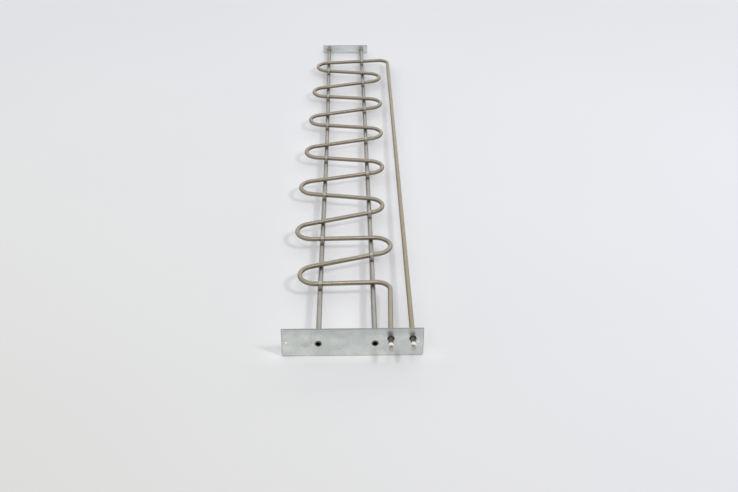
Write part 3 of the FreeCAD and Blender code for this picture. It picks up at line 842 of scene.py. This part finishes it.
def mat_zinc(name, front):
    """Hot-dip galvanised sheet: pale grey-green, cloudy, with crystals that show only faintly,
    dark sheared edges, a few handling marks and, on the front sheet, painted reflections of the stubs."""
    n = Nodes(name)
    co = n.coords()
    flat = n.scale(co, (1.0, 0.35, 1.0))
    warp = n.shift(flat, n.scale(n.add("ShaderNodeTexNoise", {"Vector": flat, "Scale": 60.0, "Detail": 2.0}).outputs["Color"],
                                 (0.006, 0.006, 0.006)))
    crystal = n.voronoi(warp, 210.0)
    cell = n.add("ShaderNodeSeparateColor", {"Color": crystal.outputs["Color"]})
    frost = n.noise(warp, 900.0, 3.0, 0.65, 0.6)
    cloud = n.noise(flat, 38.0, 3.0, 0.55, 0.4)
    smear = n.noise(n.scale(flat, (18.0, 1.0, 75.0)), 1.0, 3.0, 0.6)
    speck = n.noise(flat, 430.0, 3.0, 0.6)
    # tone: paler low down and greyer towards the upper edge
    across, _, height = n.add("ShaderNodeSeparateXYZ", {"Vector": co}).outputs
    if front:
        low, high = (0.632, 0.656, 0.630), (0.787, 0.813, 0.780)
    else:
        low, high = (0.665, 0.695, 0.680), (0.860, 0.890, 0.875)
    base = n.mix(n.span(cloud, 0.32, 0.68), low, high)
    base = n.mix(n.span(smear, 0.42, 0.70, 0.0, 0.46), base, (0.50, 0.525, 0.515))
    base = n.mix(n.span(cell.outputs[0], 0.0, 1.0, 0.0, 0.05), base, (0.56, 0.585, 0.57))
    base = n.mix(n.span(frost, 0.40, 0.75, 0.0, 0.04 if front else 0.02), base, (0.87, 0.89, 0.86))
    base = n.mix(n.span(speck, 0.62, 0.80, 0.0, 0.10 if front else 0.04), base, (0.38, 0.395, 0.38))
    if front:
        upper = n.math("MULTIPLY", n.span(height, 0.001, 0.023, 0.0, 0.38, "SMOOTHSTEP"), n.span(across, -0.100, -0.055, 0.35, 1.0))
        grey = n.math("ADD", upper, n.span(cloud, 0.3, 0.7, 0.06, -0.06))
        base = n.mix(grey, base, (0.40, 0.42, 0.41))
        # hand marks; the two above the leg holes are painted reflections of the stubs
        for mx, mz, rx, rz, depth in ((-0.071, -0.0045, 0.012, 0.007, 0.42), (0.075, 0.019, 0.040, 0.009, 0.16),
                                      (0.058, 0.0165, 0.0085, 0.0125, 0.62), (0.0912, 0.0165, 0.0085, 0.0125, 0.50),
                                      (-0.036, -0.013, 0.010, 0.007, 0.22), (0.041, 0.003, 0.010, 0.008, 0.18),
                                      (-0.0625, 0.0035, 0.0085, 0.0090, 0.40)):
            d = n.add("ShaderNodeVectorMath", operation="LENGTH")
            n.put(d.inputs[0], n.scale(n.shift(co, (-mx, 0.0, -mz)), (1.0 / rx, 0.0, 1.0 / rz)))
            mark = n.math("MULTIPLY", n.span(d.outputs["Value"], 0.1, 1.0, depth, 0.0, "SMOOTHSTEP"),
                          n.span(speck, 0.35, 0.65, 0.6, 1.1))
            base = n.mix(mark, base, (0.36, 0.375, 0.365))
    else:
        # a long scratch, and lighter along the lower edge
        slant = n.add("ShaderNodeVectorMath", operation="DOT_PRODUCT")
        n.put(slant.inputs[0], co)
        slant.inputs[1].default_value = (0.30, 0.0, 1.0)
        line = n.math("ABSOLUTE", n.math("ADD", slant.outputs["Value"], n.span(cloud, 0.3, 0.7, 0.0050, 0.0100)))
        base = n.mix(n.math("MULTIPLY", n.span(line, 0.0004, 0.0026, 0.55, 0.0), n.span(smear, 0.40, 0.60)), base, (0.42, 0.445, 0.44))
        base = n.mix(n.span(height, -0.010, -0.003, 0.5, 0.0), base, (0.88, 0.90, 0.89))
    # handled border and dark sheared edges
    rim = n.attr("rim")
    burr = n.noise(n.scale(co, (260.0, 900.0, 260.0)), 1.0, 3.0, 0.6)
    edge_col = n.mix(n.span(burr, 0.35, 0.65), (0.17, 0.18, 0.175), (0.31, 0.325, 0.32))
    side = n.math("MULTIPLY", n.math("POWER", rim, 1.2), n.span(burr, 0.3, 0.7, 0.62, 0.95))
    base = n.mix(side, base, edge_col)
    rough = n.span(cloud, 0.30, 0.70, 0.20, 0.29)
    rough = n.math("ADD", rough, n.span(cell.outputs[1], 0.0, 1.0, -0.015, 0.020))
    rough = n.math("ADD", rough, n.math("MULTIPLY", side, 0.12))
    bump = n.bump(cloud, 0.00030, 0.20)
    bump = n.bump(frost, 0.000018, 0.05, bump)
    p = n.principled(Base_Color=base, Roughness=rough, Normal=bump)
    p.inputs["Metallic"].default_value = 0.90
    return n.data


def mat_clip():
    """Bright strip steel, with a painted highlight over the run."""
    n = Nodes("clip_steel")
    lo = n.attr("local", True)
    co = n.coords()
    wear = n.noise(n.shift(n.scale(lo, (420.0, 90.0, 90.0)), n.scale(co, (9.0, 9.0, 9.0))), 1.0, 3.0, 0.6)
    grain = n.noise(co, 3600.0, 2.0, 0.6)
    base = n.mix(n.span(wear, 0.3, 0.7), (0.370, 0.350, 0.323), (0.490, 0.470, 0.438))
    base = n.mix(n.span(grain, 0.4, 0.7, 0.0, 0.2), base, (0.24, 0.232, 0.22))
    # painted highlight: brighter on the top of the bow, over the run
    height = n.add("ShaderNodeSeparateXYZ", {"Vector": lo}).outputs[2]
    top = n.math("MULTIPLY", n.span(height, 0.0088, 0.0106), n.span(wear, 0.3, 0.65, 0.4, 0.9))
    base = n.mix(top, base, (0.56, 0.55, 0.53))
    foot = n.attr("foot")
    scorch = n.math("ADD", foot, n.span(wear, 0.3, 0.7, -0.22, 0.18))
    base = n.mix(n.span(scorch, 0.20, 0.95, 0.0, 0.9), base, n.ramp(scorch, [
        (0.0, (0.42, 0.37, 0.30)), (0.45, (0.29, 0.225, 0.155)), (0.75, (0.160, 0.118, 0.088)),
        (1.0, (0.110, 0.084, 0.070))]))
    bump = n.bump(wear, 0.00003, 0.5)
    bump = n.bump(grain, 0.000012, 0.4, bump)
    rough = n.span(wear, 0.3, 0.7, 0.34, 0.46)
    p = n.principled(Base_Color=base, Roughness=rough, Normal=bump)
    p.inputs["Metallic"].default_value = 0.90
    return n.data


def mat_weld(name, dark, light, rust):
    """Set weld metal with heat-darkened scale on it."""
    n = Nodes(name)
    co = n.coords()
    scale_and_shade = n.noise(co, 900.0, 4.0, 0.65)
    patch = n.noise(co, 260.0, 3.0, 0.6)
    grit = n.noise(co, 3600.0, 3.0, 0.6)
    base = n.mix(n.span(scale_and_shade, 0.34, 0.66), dark, light)
    base = n.mix(n.span(patch, 0.48, 0.66, 0.0, 0.65), base, rust)
    bump = n.bump(scale_and_shade, 0.00010, 0.55)
    bump = n.bump(grit, 0.00003, 0.45, bump)
    p = n.principled(Base_Color=base, Roughness=n.span(grit, 0.3, 0.7, 0.42, 0.62), Normal=bump)
    p.inputs["Metallic"].default_value = 0.70
    return n.data


def mat_ceramic():
    """Pressed steatite: white with a faint warm-lilac cast, fine pits, a few
    rubbed grey marks and a thin gloss."""
    n = Nodes("steatite")
    co = n.coords()
    body = n.noise(co, 320.0, 3.0, 0.6)
    pits = n.voronoi(co, 2600.0)
    rub = n.noise(n.scale(co, (520.0, 520.0, 240.0)), 1.0, 4.0, 0.65)
    base = n.mix(n.span(body, 0.3, 0.7), (0.800, 0.770, 0.790), (0.880, 0.855, 0.870))
    base = n.mix(n.span(rub, 0.60, 0.74, 0.0, 0.55), base, (0.52, 0.47, 0.48))
    pit = n.span(pits.outputs["Distance"], 0.05, 0.22, 1.0, 0.0)
    base = n.mix(n.math("MULTIPLY", pit, 0.18), base, (0.55, 0.52, 0.52))
    # painted shade: the end face is coloured greyer; it also has rust-brown stains
    ny = n.add("ShaderNodeSeparateXYZ", {"Vector": n.add("ShaderNodeNewGeometry").outputs["Normal"]}).outputs[1]
    face = n.span(ny, -0.85, -0.35, 1.0, 0.0, "SMOOTHSTEP")
    base = n.mix(n.math("MULTIPLY", face, n.span(body, 0.3, 0.7, 0.60, 0.85)), base, (0.720, 0.680, 0.700))
    rust = n.noise(co, 210.0, 3.0, 0.6)
    base = n.mix(n.math("MULTIPLY", face, n.span(rust, 0.54, 0.66, 0.0, 0.55)), base, (0.42, 0.31, 0.26))
    bump = n.bump(n.span(pits.outputs["Distance"], 0.0, 0.25), 0.00002, 0.5)
    bump = n.bump(body, 0.00008, 0.3, bump)
    p = n.principled(Base_Color=base, Roughness=n.span(rub, 0.3, 0.7, 0.30, 0.46), Normal=bump)
    p.inputs["Specular IOR Level"].default_value = 0.5
    return n.data


def mat_tab():
    """Plated blade, finely scratched lengthwise, with brown stains."""
    n = Nodes("tab_steel")
    co = n.coords()
    scratch = n.noise(n.scale(co, (2600.0, 120.0, 900.0)), 1.0, 4.0, 0.65)
    patch = n.noise(co, 300.0, 3.0, 0.6)
    base = n.mix(n.span(patch, 0.3, 0.7), (0.42, 0.410, 0.405), (0.57, 0.560, 0.555))
    base = n.mix(n.span(scratch, 0.42, 0.7, 0.0, 0.40), base, (0.27, 0.262, 0.258))
    stain = n.noise(co, 240.0, 3.0, 0.6)
    base = n.mix(n.span(stain, 0.58, 0.70, 0.0, 0.5), base, (0.26, 0.205, 0.175))
    bump = n.bump(scratch, 0.00002, 0.5)
    p = n.principled(Base_Color=base, Roughness=n.span(scratch, 0.3, 0.7, 0.26, 0.40), Normal=bump)
    p.inputs["Metallic"].default_value = 0.90
    return n.data


def mat_pin():
    n = Nodes("terminal_steel")
    co = n.coords()
    ringed = n.noise(n.scale(co, (300.0, 2200.0, 300.0)), 1.0, 3.0, 0.6)
    patch = n.noise(co, 400.0, 3.0, 0.6)
    base = n.mix(n.span(patch, 0.35, 0.65), (0.36, 0.28, 0.22), (0.52, 0.46, 0.40))
    base = n.mix(n.span(ringed, 0.40, 0.7, 0.0, 0.4), base, (0.22, 0.15, 0.11))
    bump = n.bump(ringed, 0.00003, 0.5)
    p = n.principled(Base_Color=base, Roughness=n.span(patch, 0.3, 0.7, 0.34, 0.5), Normal=bump)
    p.inputs["Metallic"].default_value = 0.85
    return n.data


def mat_seal():
    n = Nodes("sealant")
    co = n.coords()
    body = n.noise(co, 700.0, 3.0, 0.6)
    bub = n.voronoi(co, 1500.0)
    base = n.mix(n.span(body, 0.3, 0.7), (0.34, 0.20, 0.13), (0.50, 0.32, 0.20))
    bump = n.bump(n.span(bub.outputs["Distance"], 0.0, 0.3), 0.00006, 0.6)
    n.principled(Base_Color=base, Roughness=n.span(body, 0.3, 0.7, 0.30, 0.5), Normal=bump)
    return n.data


def mat_magnesia():
    n = Nodes("magnesia")
    co = n.coords()
    grain = n.voronoi(co, 2400.0)
    body = n.noise(co, 500.0, 4.0, 0.65)
    base = n.mix(n.span(body, 0.3, 0.7), (0.74, 0.72, 0.68), (0.86, 0.85, 0.82))
    base = n.mix(n.span(grain.outputs["Distance"], 0.1, 0.5, 0.0, 0.25), base, (0.60, 0.57, 0.52))
    bump = n.bump(grain.outputs["Distance"], 0.00010, 0.6)
    n.principled(Base_Color=base, Roughness=n.span(body, 0.3, 0.7, 0.80, 0.95), Normal=bump)
    return n.data


def mat_coil():
    """Wound resistance wire: the turns are a wave along the envelope."""
    n = Nodes("resistance_wire")
    co = n.coords()
    wave = n.add("ShaderNodeTexWave", wave_type="BANDS", bands_direction="X", wave_profile="SIN")
    n.put(wave.inputs["Vector"], co)
    wave.inputs["Scale"].default_value = 380.0
    wave.inputs["Distortion"].default_value = 0.6
    body = n.noise(co, 900.0, 3.0, 0.6)
    base = n.mix(n.span(body, 0.3, 0.7), (0.26, 0.23, 0.20), (0.42, 0.38, 0.34))
    bump = n.bump(wave.outputs["Fac"], 0.00016, 0.8)
    p = n.principled(Base_Color=base, Roughness=n.span(body, 0.3, 0.7, 0.36, 0.52), Normal=bump)
    p.inputs["Metallic"].default_value = 0.85
    return n.data


M = {
    "sheath": mat_sheath(), "tube": mat_tube(),
    "plate": mat_zinc("galvanised_plate", True), "foot": mat_zinc("foot_sheet", False),
    "clip": mat_clip(),
    "clip_weld": mat_weld("clip_weld_metal", (0.048, 0.034, 0.027), (0.140, 0.105, 0.080), (0.155, 0.078, 0.048)),
    # painted shade: the leg welds are near-black, burnt metal that also stands in for the shade in the gap round each
    # stub
    "burnt_and_gap_shade": mat_weld("leg_weld_gap_shade", (0.012, 0.010, 0.009), (0.042, 0.034, 0.030), (0.046, 0.028, 0.021)),
    "tube_weld": mat_weld("tube_weld_metal", (0.085, 0.080, 0.074), (0.235, 0.228, 0.215), (0.115, 0.090, 0.072)),
    "foot_weld": mat_weld("foot_weld_metal", (0.300, 0.300, 0.292), (0.470, 0.470, 0.458), (0.300, 0.285, 0.262)),
    "ceramic": mat_ceramic(), "tab": mat_tab(), "pin": mat_pin(), "seal": mat_seal(),
    "magnesia": mat_magnesia(), "coil": mat_coil(),
}


def dress(ob, key):
    ob.data.materials.clear()
    ob.data.materials.append(M[key])


def piece(ob, key, slot, *replaced):
    dress(ob, key)
    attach(ob, "root")
    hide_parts(*replaced)
    return ob


# -------------------------------------------------------------- new pieces
piece(make_sheath(), "sheath", "sheath_steel", "element_sheath")
piece(make_tube("left_support_tube_skin", 0), "tube", "tube_steel", "left_support_tube")
piece(make_tube("right_support_tube_skin", 1), "tube", "tube_steel", "right_support_tube")
piece(make_clips("left_retaining_clip_straps", 0), "clip", "clip_steel", "left_retaining_clips")
piece(make_clips("right_retaining_clip_straps", 1), "clip", "clip_steel", "right_retaining_clips")
piece(make_clip_welds("left_clip_weld_beads", 0), "clip_weld", "burnt_weld", "left_clip_welds")
piece(make_clip_welds("right_clip_weld_beads", 1), "clip_weld", "burnt_weld", "right_clip_welds")
piece(make_foot_weld("left_foot_fillet", 0), "foot_weld", "weld_metal", "left_tube_foot_weld")
piece(make_foot_weld("right_foot_fillet", 1), "foot_weld", "weld_metal", "right_tube_foot_weld")

holes = [(x, TUBE_Z, PASS_R, 0.45) for x in TUBE_X] + [(x, ROD_Z, PASS_R, 1.0) for x in LEG_X] \
    + [(-SCREW_X, 0.0, SCREW_R, 0.0), (SCREW_X, 0.0, SCREW_R, 0.0)]
piece(make_plate("front_mounting_plate_sheet", PLATE_W, PLATE_H, 0.0, 0.0, -PLATE_T, 0.0,
                 PLATE_R_LOW, PLATE_R_TOP, holes, 1.5), "plate", "galvanised_plate", "front_mounting_plate")
piece(make_plate("rear_foot_plate_sheet", FOOT_W, FOOT_H, FOOT_XC, FOOT_ZC, Y_FOOT, Y_FAR,
                 FOOT_R, FOOT_R, [(x, TUBE_Z, FOOT_HOLE_R, 0.3) for x in TUBE_X_FAR], 1.2),
      "foot", "foot_sheet", "rear_foot_plate")

# ------------------------------------------------- finishes of the CAD pieces
for node, key in {
    "magnesia_filling": "magnesia", "resistance_coil": "coil",
    "left_terminal_pin": "pin", "right_terminal_pin": "pin",
    "left_end_seal": "seal", "right_end_seal": "seal",
    "left_ceramic_bush": "ceramic", "right_ceramic_bush": "ceramic",
    "left_terminal_tab": "tab", "right_terminal_tab": "tab",
    "left_tube_plate_weld": "tube_weld", "right_tube_plate_weld": "tube_weld",
    "left_leg_plate_weld": "burnt_and_gap_shade", "right_leg_plate_weld": "burnt_and_gap_shade",
}.items():
    dress(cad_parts[node], key)


# ----------------------------------------------------------------------- floor
# painted light: tone of the paper, graded to even out how the lamps light the floor: constant, X, Y, X squared, X
# times Y, Y squared (metres)
DRIFT = ((0.6883, 0.6945, 0.7064),
         (-0.0186, -0.0167, 0.0176),
         (0.1236, 0.1290, 0.1460),
         (0.0088, 0.0097, 0.0074),
         (0.0167, 0.0142, -0.0062),
         (-0.0345, -0.0366, -0.0386))


def floor_z(y):
    return (-25.0 + 14.3 * (y + 1.0) / 1278.0) * MM


fm = bpy.data.meshes.new("floor")
ext, cells = 9.0, 12
fv, ff = [], []
for j in range(cells + 1):
    for i in range(cells + 1):
        px = -ext + 2 * ext * i / cells
        py = -ext + 0.6 + 2 * ext * j / cells
        fv.append((px, py, floor_z(py / MM)))
for j in range(cells):
    for i in range(cells):
        a = j * (cells + 1) + i
        ff.append((a, a + 1, a + cells + 2, a + cells + 1))
fm.from_pydata(fv, [], ff)
floor = bpy.data.objects.new("floor", fm)
bpy.context.scene.collection.objects.link(floor)
n = Nodes("floor_paint")
co = n.coords()
soft = n.noise(co, 1.1, 2.0, 0.5)
fine = n.noise(co, 160.0, 3.0, 0.6)
# painted light: the paper's tone is graded across the floor and along it, to even out how the lamps light it
fx, fy, _ = n.add("ShaderNodeSeparateXYZ", {"Vector": co}).outputs
fx, fy = n.span(fx, -1.2, 1.2, -1.2, 1.2), n.span(fy, -0.5, 2.0, -0.5, 2.0)
terms = [(DRIFT[1], fx), (DRIFT[2], fy), (DRIFT[3], n.math("MULTIPLY", fx, fx)),
         (DRIFT[4], n.math("MULTIPLY", fx, fy)), (DRIFT[5], n.math("MULTIPLY", fy, fy)),
         ((0.010, 0.010, 0.009), n.span(soft, 0.3, 0.7, -1.0, 1.0))]
# painted light: the paper is coloured paler under the element and just before the front plate, lifting the shade they
# cast
under = n.math("MULTIPLY", n.span(fx, -0.182, -0.012, 0.0, 0.138, "SMOOTHSTEP"), n.span(fx, 0.026, 0.202, 1.0, 0.0, "SMOOTHSTEP"))
under = n.math("MULTIPLY", under, n.span(fy, -0.029, -0.003, 0.0, 1.0, "SMOOTHSTEP"))
under = n.math("MULTIPLY", under, n.span(fy, 0.620, 1.406, 1.0, 0.0, "SMOOTHSTEP"))
front = n.math("MULTIPLY", n.span(fy, -0.082, 0.0, 0.0, 0.120, "SMOOTHSTEP"), n.span(fy, 0.0, 0.03, 1.0, 0.0, "SMOOTHSTEP"))
front = n.math("MULTIPLY", front, n.span(n.math("ABSOLUTE", fx), 0.085, 0.150, 1.0, 0.0, "SMOOTHSTEP"))
painted_light_lift = n.math("ADD", n.math("ADD", under, front), 1.0)
col = DRIFT[0]
for tone, where in terms:
    part = n.add("ShaderNodeVectorMath", operation="SCALE")
    part.inputs[0].default_value = tone
    n.put(part.inputs["Scale"], where)
    col = n.shift(part.outputs[0], col)
part = n.add("ShaderNodeVectorMath", operation="SCALE")
n.put(part.inputs[0], col)
n.put(part.inputs["Scale"], painted_light_lift)
col = part.outputs[0]
n.principled(Base_Color=col, Roughness=n.span(fine, 0.3, 0.7, 0.68, 0.78), Normal=n.bump(fine, 0.00005, 0.2))
floor.data.materials.append(n.data)


# ---------------------------------------------------------------------- lights
def area(name, at, aim, size, power, colour=(1, 1, 1), shape="DISK"):
    d = bpy.data.lights.new(name, "AREA")
    d.shape = shape
    d.size = size
    d.energy = power
    d.color = colour
    ob = bpy.data.objects.new(name, d)
    ob.location = at
    ob.rotation_euler = (Vector(aim) - Vector(at)).to_track_quat("-Z", "Y").to_euler()
    bpy.context.scene.collection.objects.link(ob)
    return ob


key = area("key", (1.490, -0.930, 1.910), (0.0, 0.5, 0.0), 0.30, 13.0, (1.0, 1.0, 1.0))
area("sheen", (1.490, -0.930, 1.910), (0.0, 0.5, 0.0), 0.55, 4.6, (1.0, 1.0, 1.0))
area("fill", (0.16, -0.95, 1.60), (0.0, 0.5, 0.0), 0.40, 2.6, (1.0, 1.0, 1.0))

key.visible_glossy = False                  # diffused: only its "sheen" share shows on the metal

w = Nodes("studio", world=True)
gen = w.add("ShaderNodeTexCoord").outputs["Generated"]
axes = w.add("ShaderNodeSeparateXYZ", {"Vector": gen}).outputs
# white room: dim near the horizon, more so towards the near wall, bright above
tilt = w.math("ADD", axes[2], w.math("MULTIPLY", axes[1], 0.25))
sky = w.ramp(w.span(tilt, -0.3, 1.1), [
    (k, (v * 1.005, v, v)) for k, v in ((0.0, 0.120), (0.21, 0.180), (0.36, 0.375), (0.46, 0.650),
                                               (0.62, 0.868), (0.74, 0.930), (0.93, 0.790), (1.0, 0.790))], "EASE")


def glow(direction, start, gain, colour):
    d = Vector(direction).normalized()
    k = w.add("ShaderNodeVectorMath", operation="DOT_PRODUCT")
    w.put(k.inputs[0], gen)
    k.inputs[1].default_value = d
    part = w.add("ShaderNodeVectorMath", operation="SCALE")
    part.inputs[0].default_value = [gain * c for c in colour]
    w.put(part.inputs["Scale"], w.span(k.outputs["Value"], start, 1.0, 0.0, 1.0, "SMOOTHSTEP"))
    return part.outputs[0]


# two broad reflectors, one at the camera's left and one behind on the right
sky = w.shift(glow((-0.62, -0.58, 0.52), 0.55, 0.26, (1.0, 1.0, 1.0)), sky)
sky = w.shift(glow((0.50, 0.75, 0.43), 0.60, 0.22, (1.0, 1.0, 1.0)), sky)
bg = w.add("ShaderNodeBackground", {"Color": sky, "Strength": 1.0})
wo = w.add("ShaderNodeOutputWorld", {"Surface": bg.outputs[0]})
bpy.context.scene.world = w.data

# ---------------------------------------------------------------------- camera
PITCH, YAW, ROLL = math.radians(31.07), math.radians(1.39), math.radians(0.28)
fwd = Vector((math.sin(YAW) * math.cos(PITCH), math.cos(YAW) * math.cos(PITCH), -math.sin(PITCH)))
right = Vector((math.cos(YAW), -math.sin(YAW), 0.0))
upv = right.cross(fwd)
r2 = right * math.cos(ROLL) + upv * math.sin(ROLL)
u2 = -right * math.sin(ROLL) + upv * math.cos(ROLL)
cam_data = bpy.data.cameras.new("camera")
cam_data.sensor_fit = "HORIZONTAL"
cam_data.sensor_width = 36.0
cam_data.lens = 36.0 * 997.205 / 738.0
cam_data.clip_start, cam_data.clip_end = 0.02, 100.0
cam = bpy.data.objects.new("camera", cam_data)
rot = Matrix((r2, u2, -fwd)).transposed().to_4x4()
cam.matrix_world = Matrix.Translation(Vector((-5.435, -1218.307, 903.042)) * MM) @ rot
bpy.context.scene.collection.objects.link(cam)
bpy.context.scene.camera = cam

view = bpy.context.scene.view_settings
view.view_transform = "Standard"
view.look = "None"
view.exposure = 0.0
view.gamma = 1.0
